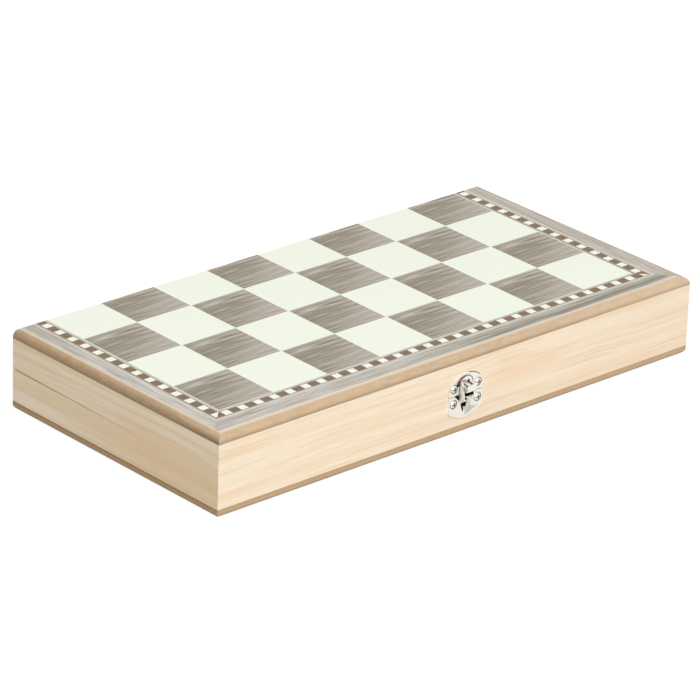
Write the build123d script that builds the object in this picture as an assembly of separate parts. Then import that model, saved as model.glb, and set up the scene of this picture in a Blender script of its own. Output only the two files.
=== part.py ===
"""Folding games compendium box: two shallow pine trays hinged at the back.

Units are millimetres.  X runs along the box, -Y is the front with the latch, +Y the back with the
hinges, +Z is up.  The origin is at the centre of the footprint, on the face that the box lies on.
"""
import os
from math import atan2, degrees

from build123d import *

os.makedirs("parts", exist_ok=True)

# ---- box ------------------------------------------------------------------------------------
box_length = 340.0          # along X, and the side of the square board when the box is open
box_depth = 170.0           # along Y, half of the open board
rail_height = 18.2          # one tray's frame
rail_thickness = 10.0
panel_thickness = 4.8
panel_round = 4.5           # rounded outer edge, front and ends
panel_round_back = 1.5      # rounded outer edge along the hinges
print_thickness = 0.2       # printed and varnished sheet
print_margin = 0.2          # bare panel between the rounded edge and the sheet
lining_margin = 0.2         # round the inner sheet, inside the frame
seam_gap = 0.2              # between the closed trays' rims
back_gap = 0.3              # between the trays' backs when the board lies open

# ---- hinges ---------------------------------------------------------------------------------
hinge_spacing = 200.0       # between the centres of the two hinges
hinge_length = 30.0
hinge_knuckles = 5
knuckle_radius = 2.0
knuckle_gap = 0.3           # between neighbouring knuckles
hinge_pin_radius = 0.8
pin_clearance = 0.03        # radial, in the knuckles
pin_head_radius = 1.3
pin_head_height = 0.5
leaf_thickness = 0.9
leaf_width = 8.6            # from the back of the frame to the leaf's free edge
leaf_clearance = 0.1        # round a leaf in its recess
swing_clearance = 0.3       # round the knuckles
leaf_hole_spacing = 17.0

# ---- latch ----------------------------------------------------------------------------------
latch_offset = 1.2          # from the middle of the front, along X
latch_width = 24.4
plate_thickness = 0.8
plate_split = 0.5           # gap between the two plates, at the seam
keeper_height = 11.6        # top of the upper plate above the seam
keeper_shoulder = 3.4       # straight sides of the upper plate
keeper_window_width = 12.6
keeper_window_top = 10.2
keeper_window_shoulder = 4.2
bridge_bottom = 3.4         # strip across the window that carries the lug
bridge_height = 2.2
lug_width = 3.3
lug_thickness = 0.7
lug_reach = 4.4             # tip of the lug in front of the frame
lug_drop = 1.7              # how far the lug slopes down to its tip
lower_plate_height = 13.8   # bottom of the lower plate below the seam
lower_plate_shoulder = 9.3  # straight sides of the lower plate
lower_window_width = 13.6   # at the seam
lower_window_neck = 9.8     # at its bottom
lower_window_depth = 5.3
hood_mouth = 1.3            # below the seam
hood_tip = 12.3             # below the seam
hood_mouth_radius = 3.4
hood_tip_radius = 0.4
hood_wall = 0.6
hasp_width = 9.0
hasp_sheet = 0.7
hasp_standoff = 0.95        # back edge of the hasp's cheeks from the frame
hasp_front = 3.7            # front of the hasp at its lower edge
hasp_nose = 4.1             # front of the hasp where its roof begins
hasp_lower_edge = 1.0       # above the seam
hasp_nose_height = 5.0      # above the seam
hasp_top = 9.4              # above the seam
hasp_window_clearance = 0.45  # each side of the lug
pivot_drop = 3.5            # pivot pin below the seam
pivot_standoff = 2.0        # pivot pin in front of the frame
pivot_radius = 0.6
tail_radius = 1.45
pocket_depth = 2.5          # hollow in the frame behind the lower window

# ---- screws ---------------------------------------------------------------------------------
screw_shank_radius = 0.9
pilot_clearance = 0.05
latch_screw_spacing = 17.4
latch_screw_height = 4.4    # above and below the seam
latch_screw_head_radius = 2.1
latch_screw_head_height = 1.1
latch_screw_length = 7.0
hinge_screw_head_radius = 1.9
hinge_screw_head_height = 0.8
hinge_screw_length = 9.0
recess_width = 0.45
recess_share = 1.25         # length of the cross recess over the head's radius
recess_depth = 0.4

# ---- derived --------------------------------------------------------------------------------
tray_height = print_thickness + panel_thickness + rail_height
seam_z = tray_height + seam_gap / 2
frame_bottom = print_thickness + panel_thickness
front_y = -box_depth / 2
back_y = box_depth / 2
hinge_axis_y = back_y + back_gap / 2
hinge_centres = (-hinge_spacing / 2, hinge_spacing / 2)
leaf_top = seam_z - seam_gap / 2
leaf_row_y = back_y - leaf_width / 2
bore_radius = hinge_pin_radius + pin_clearance
pilot_radius = screw_shank_radius + pilot_clearance
latch_place = Plane(
    origin=(latch_offset, front_y, seam_z), x_dir=(1, 0, 0), z_dir=(0, -1, 0)
).location
seam_plane = Plane(origin=(0, 0, seam_z), z_dir=(0, 0, 1))


def save(shape, name):
    """Write one piece to its own file."""
    shape.label = name
    export_step(shape, f"parts/{name}.step")


def to_lid(shape):
    """The same piece on the other tray: its mirror image in the seam."""
    return mirror(shape, about=seam_plane)


def block(x0, x1, y0, y1, z0, z1):
    """A box between two corners."""
    size = (x1 - x0, y1 - y0, z1 - z0)
    return Pos((x0 + x1) / 2, (y0 + y1) / 2, (z0 + z1) / 2) * Box(*size)


def side_shape(points, x0, x1):
    """A sheet cut to an outline in the YZ plane and as thick as x0 to x1."""
    outline = Plane.YZ * make_face(Polyline(*points, close=True))
    return Pos(x0, 0, 0) * extrude(outline, amount=x1 - x0, dir=(1, 0, 0))


def rod_x(radius, x0, x1, y, z):
    """A round bar along X."""
    return Pos((x0 + x1) / 2, y, z) * Rot(0, 90, 0) * Cylinder(radius, x1 - x0)


# ---- trays ----------------------------------------------------------------------------------
def edge_profile(width, round_low, round_high):
    """Section of the panel: flat on the frame's side, rounded on the outer side."""
    half = width / 2
    outline = Polyline(
        (-half, panel_thickness), (-half, 0), (half, 0), (half, panel_thickness), close=True
    )
    face = make_face(outline)
    corners = face.vertices().group_by(Axis.Y)[0].sort_by(Axis.X)
    face = fillet(corners[0], round_low)
    corner = face.vertices().group_by(Axis.Y)[0].sort_by(Axis.X)[-1]
    return fillet(corner, round_high)


def tray_panel():
    """Bottom panel, rounded along its outer edges."""
    along = Plane.YZ * edge_profile(box_depth, panel_round, panel_round_back)
    across = Plane.XZ * edge_profile(box_length, panel_round, panel_round)
    long_bar = extrude(along, amount=box_length / 2, both=True, dir=(1, 0, 0))
    short_bar = extrude(across, amount=box_depth / 2, both=True, dir=(0, 1, 0))
    return Pos(0, 0, print_thickness) * (long_bar & short_bar)


def outer_sheet():
    """Printed sheet on the panel's outer face."""
    end = box_length / 2 - panel_round - print_margin
    front = front_y + panel_round + print_margin
    back = back_y - panel_round_back
    return block(-end, end, front, back, 0, print_thickness)


def inner_sheet():
    """Printed sheet on the panel's inner face, between the rails."""
    end = box_length / 2 - rail_thickness - lining_margin
    side = box_depth / 2 - rail_thickness - lining_margin
    return block(-end, end, -side, side, frame_bottom, frame_bottom + print_thickness)


def long_rail(side):
    """Front rail for side -1 or back rail for side 1, mitred at both ends."""
    outer = side * box_depth / 2
    inner = outer - side * rail_thickness
    half = box_length / 2
    outline = Polyline(
        (-half, outer), (half, outer), (half - rail_thickness, inner),
        (rail_thickness - half, inner), close=True,
    )
    return Pos(0, 0, frame_bottom) * extrude(make_face(outline), amount=rail_height, dir=(0, 0, 1))


def short_rail(side):
    """Left rail for side -1 or right rail for side 1, mitred at both ends."""
    outer = side * box_length / 2
    inner = outer - side * rail_thickness
    half = box_depth / 2
    outline = Polyline(
        (outer, -half), (outer, half), (inner, half - rail_thickness),
        (inner, rail_thickness - half), close=True,
    )
    return Pos(0, 0, frame_bottom) * extrude(make_face(outline), amount=rail_height, dir=(0, 0, 1))


# ---- screws ---------------------------------------------------------------------------------
def cross_recess(head_radius):
    """Cross-shaped tool that cuts the driver's recess, reaching down from z = 0."""
    long_side = recess_share * head_radius
    bar = Box(long_side, recess_width, 2 * recess_depth)
    return bar + Rot(0, 0, 90) * bar


def shank(length):
    """Pointed shank hanging down from z = 0."""
    straight = length - 2 * screw_shank_radius
    body = Pos(0, 0, -straight / 2) * Cylinder(screw_shank_radius, straight)
    point = Cone(0.1, screw_shank_radius, 2 * screw_shank_radius)
    return body + Pos(0, 0, -straight - screw_shank_radius) * point


def round_head_screw():
    """Domed screw: the head stands on z = 0."""
    rise = latch_screw_head_height
    radius = latch_screw_head_radius
    ball_radius = (radius**2 + rise**2) / (2 * rise)
    ball = Pos(0, 0, rise - ball_radius) * Sphere(ball_radius)
    head = ball & Pos(0, 0, rise / 2) * Cylinder(radius, rise)
    head = head - Pos(0, 0, rise) * cross_recess(radius)
    return head + shank(latch_screw_length)


def countersunk_screw():
    """Flat screw: the top of the head is at z = 0."""
    rise = hinge_screw_head_height
    head = Pos(0, 0, -rise / 2) * Cone(screw_shank_radius, hinge_screw_head_radius, rise)
    head = head - cross_recess(hinge_screw_head_radius)
    return head + Pos(0, 0, -rise) * shank(hinge_screw_length - rise)


def pilot_hole(length):
    """Hole for a shank, from z = 0 down and a little deeper than the shank."""
    deep = length + pilot_radius
    return Pos(0, 0, -deep / 2) * Cylinder(pilot_radius, deep)


# ---- hinges ---------------------------------------------------------------------------------
def knuckle_span(index):
    """Start and end of one knuckle along the hinge."""
    pitch = hinge_length / hinge_knuckles
    start = -hinge_length / 2 + index * pitch
    low = start + (knuckle_gap / 2 if index else 0)
    high = start + pitch - (knuckle_gap / 2 if index < hinge_knuckles - 1 else 0)
    return low, high


def leaf_hole_places():
    """Centres of a leaf's two screws, relative to the hinge's centre."""
    return [(-leaf_hole_spacing / 2, leaf_row_y), (leaf_hole_spacing / 2, leaf_row_y)]


def hinge_leaf(own, others):
    """Leaf of the lower tray with its own knuckles, cut back round the other leaf's."""
    half = hinge_length / 2
    plate_z = leaf_top - leaf_thickness
    leaf = block(-half, half, back_y - leaf_width, hinge_axis_y, plate_z, leaf_top)
    for index in others:
        low, high = knuckle_span(index)
        low -= knuckle_gap
        high += knuckle_gap
        leaf -= rod_x(knuckle_radius + swing_clearance, low, high, hinge_axis_y, seam_z)
    for index in own:
        low, high = knuckle_span(index)
        leaf += rod_x(knuckle_radius, low, high, hinge_axis_y, seam_z)
    leaf -= rod_x(bore_radius, -half - 1, half + 1, hinge_axis_y, seam_z)
    sink = hinge_screw_head_height
    for x, y in leaf_hole_places():
        wide = hinge_screw_head_radius + pilot_clearance
        leaf -= Pos(x, y, leaf_top - sink / 2) * Cone(pilot_radius, wide, sink)
        leaf -= Pos(x, y, leaf_top - leaf_thickness / 2) * Cylinder(pilot_radius, 2 * leaf_thickness)
    return leaf


def hinge_pin():
    """Pin with a domed head at each end."""
    half = hinge_length / 2
    pin = rod_x(hinge_pin_radius, -half, half, hinge_axis_y, seam_z)
    for side in (-1, 1):
        start = side * half
        end = side * (half + pin_head_height)
        low, high = min(start, end), max(start, end)
        head = rod_x(pin_head_radius, low, high, hinge_axis_y, seam_z)
        rim = head.edges().filter_by(GeomType.CIRCLE).sort_by(Axis.X)
        pin += fillet(rim[0] if side < 0 else rim[-1], 0.6 * pin_head_height)
    return pin


def hinge_recess():
    """Tool that lets a leaf and its knuckles into a back rail of the lower tray."""
    half = hinge_length / 2 + leaf_clearance
    back = back_y - leaf_width - leaf_clearance
    seat = block(-half, half, back, back_y + 1, leaf_top - leaf_thickness, leaf_top + 1)
    reach = knuckle_radius + swing_clearance
    half = hinge_length / 2 + pin_head_height + swing_clearance
    groove = block(-half, half, hinge_axis_y - reach, back_y + 1, seam_z - reach, leaf_top + 1)
    tool = seat + groove
    for x, y in leaf_hole_places():
        tool += Pos(x, y, leaf_top - hinge_screw_head_height) * pilot_hole(hinge_screw_length)
    return tool


# ---- latch, in its own frame: x along the front, y up from the seam, z out of the front -----
def arch_outline(width, bottom, shoulder, top):
    """Arch with straight sides up to the shoulder and an elliptical head."""
    half = width / 2
    sides = make_face(
        Polyline((-half, bottom), (half, bottom), (half, shoulder), (-half, shoulder), close=True)
    )
    head = Pos(0, shoulder) * Ellipse(half, top - shoulder)
    upper = Pos(0, shoulder + top / 2) * Rectangle(2 * width, top)
    return sides + (head & upper)


def latch_screw_places(side):
    """Screw centres on the upper plate for side 1, on the lower plate for side -1."""
    half = latch_screw_spacing / 2
    return [(-half, side * latch_screw_height), (half, side * latch_screw_height)]


def with_screw_holes(plate, side):
    for x, y in latch_screw_places(side):
        plate -= Pos(x, y, 0) * Cylinder(pilot_radius, 4 * plate_thickness)
    return plate


def latch_keeper():
    """Upper plate: an arch with a bridge, and a lug that slopes out of the bridge."""
    low = plate_split / 2
    outline = arch_outline(latch_width, low, keeper_shoulder, keeper_height)
    window = arch_outline(keeper_window_width, -low, keeper_window_shoulder, keeper_window_top)
    bridge = Pos(0, bridge_bottom + bridge_height / 2) * Rectangle(
        keeper_window_width + 1, bridge_height
    )
    plate = extrude(outline - window + bridge, amount=plate_thickness)
    root = bridge_bottom + bridge_height
    tip = root - lug_drop
    lug = side_shape(
        [
            (root, 0), (root + lug_thickness, plate_thickness / 2),
            (tip + lug_thickness, lug_reach), (tip, lug_reach),
            (root - lug_thickness, plate_thickness / 2), (root - lug_thickness, 0),
        ],
        -lug_width / 2, lug_width / 2,
    )
    return with_screw_holes(plate + lug, 1)


def hood_cone(inset):
    """Half-cone of the hood, or the hollow in it when inset is the wall."""
    length = hood_tip - hood_mouth
    tip_radius = max(hood_tip_radius - inset, 0.05)
    cone = Rot(-90, 0, 0) * Cone(tip_radius, hood_mouth_radius - inset, length)
    return Pos(0, -(hood_mouth + hood_tip) / 2, plate_thickness / 2) * cone


def latch_plate():
    """Lower plate with a pressed hood that holds the hasp's pivot."""
    half = latch_width / 2
    low = -plate_split / 2
    outline = make_face(
        Polyline((-half, -lower_plate_shoulder), (-half, low), (half, low), (half, -lower_plate_shoulder))
        + ThreePointArc(
            (half, -lower_plate_shoulder), (0, -lower_plate_height), (-half, -lower_plate_shoulder)
        )
    )
    wide = lower_window_width / 2
    neck = lower_window_neck / 2
    window = make_face(
        Polyline((-wide, 1), (-wide, low), (-neck, -lower_window_depth),
                 (neck, -lower_window_depth), (wide, low), (wide, 1), close=True)
    )
    plate = extrude(outline - window, amount=plate_thickness)
    front = block(-half, half, -hood_tip, 0, 0, 2 * hood_mouth_radius)
    hood = hood_cone(0) & front
    hollow = hood_cone(hood_wall)
    plate = plate + hood - hollow
    plate -= rod_x(pivot_radius + pin_clearance, -half, half, -pivot_drop, pivot_standoff)
    return with_screw_holes(plate, -1)


def pivot_pin():
    """Pin of the hasp, flush with the outside of its cheeks."""
    return rod_x(pivot_radius, -hasp_width / 2, hasp_width / 2, -pivot_drop, pivot_standoff)


def hasp_cover_outline():
    """Side outline of the hasp's cover."""
    return [
        (hasp_lower_edge, hasp_standoff), (hasp_lower_edge, hasp_front),
        (hasp_nose_height, hasp_nose), (hasp_top, hasp_standoff),
    ]


def hasp_hollow_outline():
    """Side outline of the space under the cover, open at the back and at the foot."""
    roof_top = hasp_top - 1.3 * hasp_sheet
    return [
        (hasp_lower_edge - 1, hasp_standoff - 1), (hasp_lower_edge - 1, hasp_front - hasp_sheet),
        (hasp_nose_height - hasp_sheet / 3, hasp_nose - hasp_sheet),
        (roof_top, hasp_standoff), (roof_top, hasp_standoff - 1),
    ]


def latch_hasp():
    """Folded hasp: a cover with a sloping roof, and two cheeks that reach down to the pivot."""
    half = hasp_width / 2
    cover = side_shape(hasp_cover_outline(), -half, half)
    cheek = side_shape(
        [
            (hasp_lower_edge + 1, hasp_standoff), (hasp_lower_edge + 1, hasp_front),
            (-pivot_drop, pivot_standoff + tail_radius), (-pivot_drop, hasp_standoff),
        ],
        -half, half,
    )
    tail = rod_x(tail_radius, -half, half, -pivot_drop, pivot_standoff)
    low_back = block(-half, half, -2 * pivot_drop, 0, -tail_radius, hasp_standoff)
    body = cover + cheek + (tail - low_back)
    inner = half - hasp_sheet
    hollow = side_shape(hasp_hollow_outline(), -inner, inner)
    between = block(-inner, inner, -2 * pivot_drop, hasp_lower_edge, -1, 2 * hasp_nose)
    body = body - hollow - between
    gap = lug_width / 2 + hasp_window_clearance
    window_low = bridge_bottom - lug_drop + 0.6
    window_high = bridge_bottom + bridge_height + 2.0
    body -= block(-gap, gap, window_low, window_high, hasp_standoff, 2 * hasp_nose)
    body -= rod_x(pivot_radius + pin_clearance, -2 * half, 2 * half, -pivot_drop, pivot_standoff)
    return body


def latch_holes(side):
    """Pilot holes in a front rail, in the latch's frame."""
    return [Pos(x, y, 0) * pilot_hole(latch_screw_length) for x, y in latch_screw_places(side)]


def latch_screws(side):
    """The two screws of one plate, as separate solids."""
    screw = round_head_screw()
    places = latch_screw_places(side)
    solids = [latch_place * Pos(x, y, plate_thickness) * screw for x, y in places]
    return Compound(children=solids)


# ---- lower and upper tray -------------------------------------------------------------------
front_rail = long_rail(-1)
back_rail = long_rail(1)
left_rail = short_rail(-1)
right_rail = short_rail(1)
for centre in hinge_centres:
    back_rail -= Pos(centre, 0, 0) * hinge_recess()

base_front_rail = front_rail
for hole in latch_holes(-1):
    base_front_rail -= latch_place * hole
pocket_half = lower_window_neck / 2
pocket = block(-pocket_half, pocket_half, -lower_window_depth, 1, -pocket_depth, 1)
base_front_rail -= latch_place * pocket

lid_front_rail = to_lid(front_rail)
for hole in latch_holes(1):
    lid_front_rail -= latch_place * hole

save(base_front_rail, "base_front_rail")
save(back_rail, "base_back_rail")
save(left_rail, "base_left_rail")
save(right_rail, "base_right_rail")
save(tray_panel(), "base_panel")
save(outer_sheet(), "base_outer_print")
save(inner_sheet(), "base_inner_print")
save(lid_front_rail, "lid_front_rail")
save(to_lid(back_rail), "lid_back_rail")
save(to_lid(left_rail), "lid_left_rail")
save(to_lid(right_rail), "lid_right_rail")
save(to_lid(tray_panel()), "lid_panel")
save(to_lid(outer_sheet()), "lid_outer_print")
save(to_lid(inner_sheet()), "lid_inner_print")

# ---- hinges ---------------------------------------------------------------------------------
outer_knuckles = range(0, hinge_knuckles, 2)
inner_knuckles = range(1, hinge_knuckles, 2)
base_leaf = hinge_leaf(outer_knuckles, inner_knuckles)
lid_leaf = to_lid(hinge_leaf(inner_knuckles, outer_knuckles))
for centre, side in zip(hinge_centres, ("left", "right")):
    save(Pos(centre, 0, 0) * base_leaf, f"{side}_hinge_base_leaf")
    save(Pos(centre, 0, 0) * lid_leaf, f"{side}_hinge_lid_leaf")
    save(Pos(centre, 0, 0) * hinge_pin(), f"{side}_hinge_pin")

hinge_screw = countersunk_screw()
base_hinge_screws = Compound(children=[
    Pos(centre + x, y, leaf_top) * hinge_screw for centre in hinge_centres for x, y in leaf_hole_places()
])
save(base_hinge_screws, "base_hinge_screws")
save(to_lid(base_hinge_screws), "lid_hinge_screws")

# ---- latch ----------------------------------------------------------------------------------
save(latch_place * latch_keeper(), "latch_keeper")
save(latch_place * latch_plate(), "latch_plate")
save(latch_place * pivot_pin(), "hasp_pivot_pin")
save(latch_place * latch_hasp(), "latch_hasp")
save(latch_screws(1), "keeper_screws")
save(latch_screws(-1), "latch_plate_screws")
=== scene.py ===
import math

import bpy
from mathutils import Matrix, Vector


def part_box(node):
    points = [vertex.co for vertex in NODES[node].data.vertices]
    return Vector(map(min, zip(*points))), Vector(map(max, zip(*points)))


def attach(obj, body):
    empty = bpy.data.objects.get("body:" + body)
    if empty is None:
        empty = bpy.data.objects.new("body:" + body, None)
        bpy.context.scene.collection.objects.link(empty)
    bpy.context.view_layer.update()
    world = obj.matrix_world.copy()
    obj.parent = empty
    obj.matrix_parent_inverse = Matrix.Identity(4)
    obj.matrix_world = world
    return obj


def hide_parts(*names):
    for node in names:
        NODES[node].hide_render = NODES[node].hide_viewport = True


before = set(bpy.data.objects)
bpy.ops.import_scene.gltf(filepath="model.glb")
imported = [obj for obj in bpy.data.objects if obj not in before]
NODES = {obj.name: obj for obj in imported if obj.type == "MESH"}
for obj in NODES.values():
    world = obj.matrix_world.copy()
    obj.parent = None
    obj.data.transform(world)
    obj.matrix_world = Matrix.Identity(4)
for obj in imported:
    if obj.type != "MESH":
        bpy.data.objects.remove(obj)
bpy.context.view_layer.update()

# ---- sizes in metres, most of them from the frame -----------------------------------------------
MM = 0.001
PANEL_LOW, PANEL_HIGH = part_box("lid_panel")
PRINT_LOW, PRINT_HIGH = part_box("lid_outer_print")
LENGTH = PANEL_HIGH[0] - PANEL_LOW[0]
DEPTH = PANEL_HIGH[1] - PANEL_LOW[1]
HEIGHT = PRINT_HIGH[2]
SEAM_Z = HEIGHT / 2
PANEL_THICKNESS = PANEL_HIGH[2] - PANEL_LOW[2]
PRINT_THICKNESS = PRINT_HIGH[2] - PRINT_LOW[2]
FRONT_Y = PANEL_LOW[1]
LATCH_X = 0.0012            # the latch sits a little right of the middle
HOLLOW_DEPTH = 0.0025       # routed in the lower rail, behind the latch

# ---- sizes of the latch, in millimetres ---------------------------------------------------------
SHEET = 0.8                 # thickness of the two plates
HALF_PLATE = 12.2           # half their width
HALF_SEAM = 0.25            # half of the space between them
PLATE_ROUND = 0.22          # rounding of the plates' edges
KEEPER_SHOULDER = 3.4       # where the upper plate's sides end and its arch begins
KEEPER_TOP = 11.6
WINDOW_X, WINDOW_Z = -0.8, 6.0                  # middle of the arch of the upper plate's window
WINDOW_RADII = (6.0, 4.8)
WINDOW_SHOULDER = 5.0       # where its straight sides end
WINDOW_HALF = 4.95          # half its width below the shoulder
LUG_LEFT, LUG_RIGHT = -2.05, 0.7
PLATE_ARC, PLATE_ARC_Z = 18.8, 5.0              # radius and middle of the lower plate's arched foot
PLATE_FOOT = -9.28          # where the arched foot begins
POINT_ARC, POINT_ARC_X, POINT_TOP = 8.95, 5.45, -5.0    # the two arcs of the pointed opening
HOOD_LENGTH, HOOD_FLATTEN, HOOD_DEPTH = 11.6, 0.88, 0.4
SCREW_X, SCREW_Z = 8.7, 4.4
SEAT_RADIUS, SEAT_DEPTH = 2.6, 0.35             # rings in the plates round the screws' heads
HEAD_RADIUS, HEAD_RISE = 2.15, 0.9
DOME_RADIUS = 3.0
RECESS_LONG, RECESS_WIDE = 1.4, 0.40            # half sizes of the cross in a screw's head
RECESS_FLOOR = 0.4          # where it ends above the plate
HASP_HALF, HASP_FOOT = 4.5, 1.4
HASP_SHOULDER, HASP_TOP = 5.3, 9.9
HASP_WALL = 0.65            # what is left beside the cover's hollow
THROUGH = 1                 # how far a cutting solid stands out of what it cuts


# ---- shader graph helper ------------------------------------------------------------------------
class Graph:
    """Builds the nodes of a material or the world; sockets are passed straight into the calls."""

    def __init__(self, name, kind="Material"):
        owners = bpy.data.materials if kind == "Material" else bpy.data.worlds
        self.owner = owners.new(name)
        self.owner.use_nodes = True
        self.tree = self.owner.node_tree
        self.tree.nodes.clear()
        self.output = self.tree.nodes.new(f"ShaderNodeOutput{kind}")

    def node(self, kind, **settings):
        made = self.tree.nodes.new(kind)
        for key, value in settings.items():
            setattr(made, key, value)
        return made

    def put(self, socket, value):
        if isinstance(value, bpy.types.NodeSocket):
            self.tree.links.new(value, socket)
        else:
            socket.default_value = value

    def math(self, operation, a, b=0.0):
        made = self.node("ShaderNodeMath", operation=operation)
        for socket, value in zip(made.inputs, (a, b)):
            self.put(socket, value)
        return made.outputs[0]

    def add(self, a, b):
        return self.math("ADD", a, b)

    def sub(self, a, b):
        return self.math("SUBTRACT", a, b)

    def mul(self, a, b):
        return self.math("MULTIPLY", a, b)

    def div(self, a, b):
        return self.math("DIVIDE", a, b)

    def both(self, a, b):
        return self.math("MINIMUM", a, b)

    def either(self, a, b):
        return self.math("MAXIMUM", a, b)

    def inverse(self, a):
        return self.math("SUBTRACT", 1.0, a)

    def object_axes(self):
        made = self.node("ShaderNodeTexCoord")
        split = self.node("ShaderNodeSeparateXYZ")
        self.put(split.inputs[0], made.outputs["Object"])
        return split.outputs[0], split.outputs[1], split.outputs[2]

    def vector(self, x, y, z=0.0):
        made = self.node("ShaderNodeCombineXYZ")
        for socket, value in zip(made.inputs, (x, y, z)):
            self.put(socket, value)
        return made.outputs[0]

    def noise(self, vector, scale=1.0, detail=2.0, rough=0.5):
        made = self.node("ShaderNodeTexNoise")
        self.put(made.inputs["Vector"], vector)
        self.put(made.inputs["Scale"], scale)
        self.put(made.inputs["Detail"], detail)
        self.put(made.inputs["Roughness"], rough)
        return made.outputs["Fac"]

    def ramp(self, value, low, high, out_low=0.0, out_high=1.0, smooth=True):
        kind = "SMOOTHSTEP" if smooth else "LINEAR"
        made = self.node("ShaderNodeMapRange", interpolation_type=kind)
        for key, given in (("Value", value), ("From Min", low), ("From Max", high),
                           ("To Min", out_low), ("To Max", out_high)):
            self.put(made.inputs[key], given)
        return made.outputs[0]

    def within(self, value, low, high, soft):
        """1 between low and high, with soft edges."""
        rise = self.ramp(value, low - soft, low + soft, smooth=False)
        fall = self.ramp(value, high - soft, high + soft, smooth=False)
        return self.mul(rise, self.inverse(fall))

    def mix(self, factor, a, b):
        made = self.node("ShaderNodeMix", data_type="RGBA", blend_type="MIX")
        self.put(made.inputs["Factor"], factor)
        for name, value in (("A", a), ("B", b)):
            if isinstance(value, tuple):
                value = (*value, 1.0)
            socket = [s for s in made.inputs if s.name == name and s.type == "RGBA"][0]
            self.put(socket, value)
        return [s for s in made.outputs if s.type == "RGBA"][0]

    def scale_colour(self, colour, factor):
        made = self.node("ShaderNodeVectorMath", operation="SCALE")
        self.put(made.inputs[0], colour)
        self.put(made.inputs["Scale"], factor)
        return made.outputs[0]

    def bump(self, height, strength, distance):
        made = self.node("ShaderNodeBump")
        self.put(made.inputs["Height"], height)
        self.put(made.inputs["Strength"], strength)
        self.put(made.inputs["Distance"], distance)
        return made.outputs[0]

    def surface(self, colour, roughness, normal=None, **more):
        made = self.node("ShaderNodeBsdfPrincipled")
        if isinstance(colour, tuple):
            colour = (*colour, 1.0)
        self.put(made.inputs["Base Color"], colour)
        self.put(made.inputs["Roughness"], roughness)
        for key, value in more.items():
            self.put(made.inputs[key.replace("_", " ")], value)
        if normal is not None:
            self.put(made.inputs["Normal"], normal)
        return self.finish(made.outputs[0])

    def finish(self, shader):
        """Links the shader to the output and hands over the material or world."""
        self.tree.links.new(shader, self.output.inputs[0])
        return self.owner


def srgb(red, green, blue):
    """Linear colour of an 8-bit display colour."""
    def one(value):
        value /= 255
        return value / 12.92 if value <= 0.04045 else ((value + 0.055) / 1.055) ** 2.4
    return one(red), one(green), one(blue)


def place_on_latch(g, x, y, z):
    """Millimetres along, up and out of the box's front, counted from the latch's middle."""
    side = g.mul(g.sub(x, LATCH_X), 1 / MM)
    rise = g.mul(g.sub(z, SEAM_Z), 1 / MM)
    depth = g.mul(g.sub(FRONT_Y, y), 1 / MM)
    return side, rise, depth


# ---- wood, board and metal ----------------------------------------------------------------------
def pine(name, along, seed, pale, warm, streak_strength, shade_in_latch_hollow=False, shaded_foot=False):
    """Pale pine with its grain along X or Y; pale and warm are display colours."""
    g = Graph(name)
    x, y, z = g.object_axes()
    run, cross = (x, y) if along == "X" else (y, x)
    drift = g.noise(g.vector(g.mul(run, 6.0), seed, g.mul(z, 10.0)), 1.0, 2.0)
    level = g.add(z, g.mul(g.sub(drift, 0.5), 0.012))

    def grain(along_scale, cross_scale, level_scale, shift, detail):
        across = g.add(g.mul(cross, cross_scale), shift)
        return g.noise(g.vector(g.mul(run, along_scale), across, g.mul(level, level_scale)), detail=detail)

    broad = grain(3.0, 40.0, 170.0, seed, 1.0)
    dash = grain(16.0, 60.0, 760.0, seed + 3, 2.0)
    fine = g.vector(g.mul(run, 110.0), g.mul(cross, 1500.0), g.mul(z, 2400.0))
    fibre = g.noise(fine, 1.0, 3.0, 0.6)
    patch = g.noise(g.vector(g.mul(run, 14.0), seed + 7, g.mul(z, 60.0)), 1.0, 2.0)
    tone = g.mix(g.ramp(broad, 0.40, 0.66), srgb(*pale), srgb(*warm))
    deep = tuple(channel - drop for channel, drop in zip(warm, (12, 26, 38)))
    tone = g.mix(g.mul(g.ramp(dash, 0.50, 0.68), streak_strength), tone, srgb(*deep))
    rosy = tuple(channel - drop for channel, drop in zip(warm, (0, 14, 22)))
    tone = g.mix(g.mul(g.ramp(patch, 0.52, 0.78), 0.45), tone, srgb(*rosy))
    tone = g.scale_colour(tone, g.ramp(fibre, 0.25, 0.75, 0.965, 1.02))
    if shaded_foot:
        # painted shade: the rail is darker and warmer low down and towards the front
        foot = g.mul(g.ramp(z, 0.027, 0.017), g.ramp(y, 0.05, -0.04))
        tone = g.mix(g.mul(foot, 0.55), tone, srgb(236, 204, 160))
    if shade_in_latch_hollow:
        tone = painted_shade_behind_latch(g, tone, x, y, z)
    height = g.add(g.mul(fibre, 0.6), g.mul(dash, 0.4))
    return g.surface(tone, g.ramp(fibre, 0.2, 0.8, 0.48, 0.62), g.bump(height, 0.10, 0.0002),
                     Specular_IOR_Level=0.25)


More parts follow.
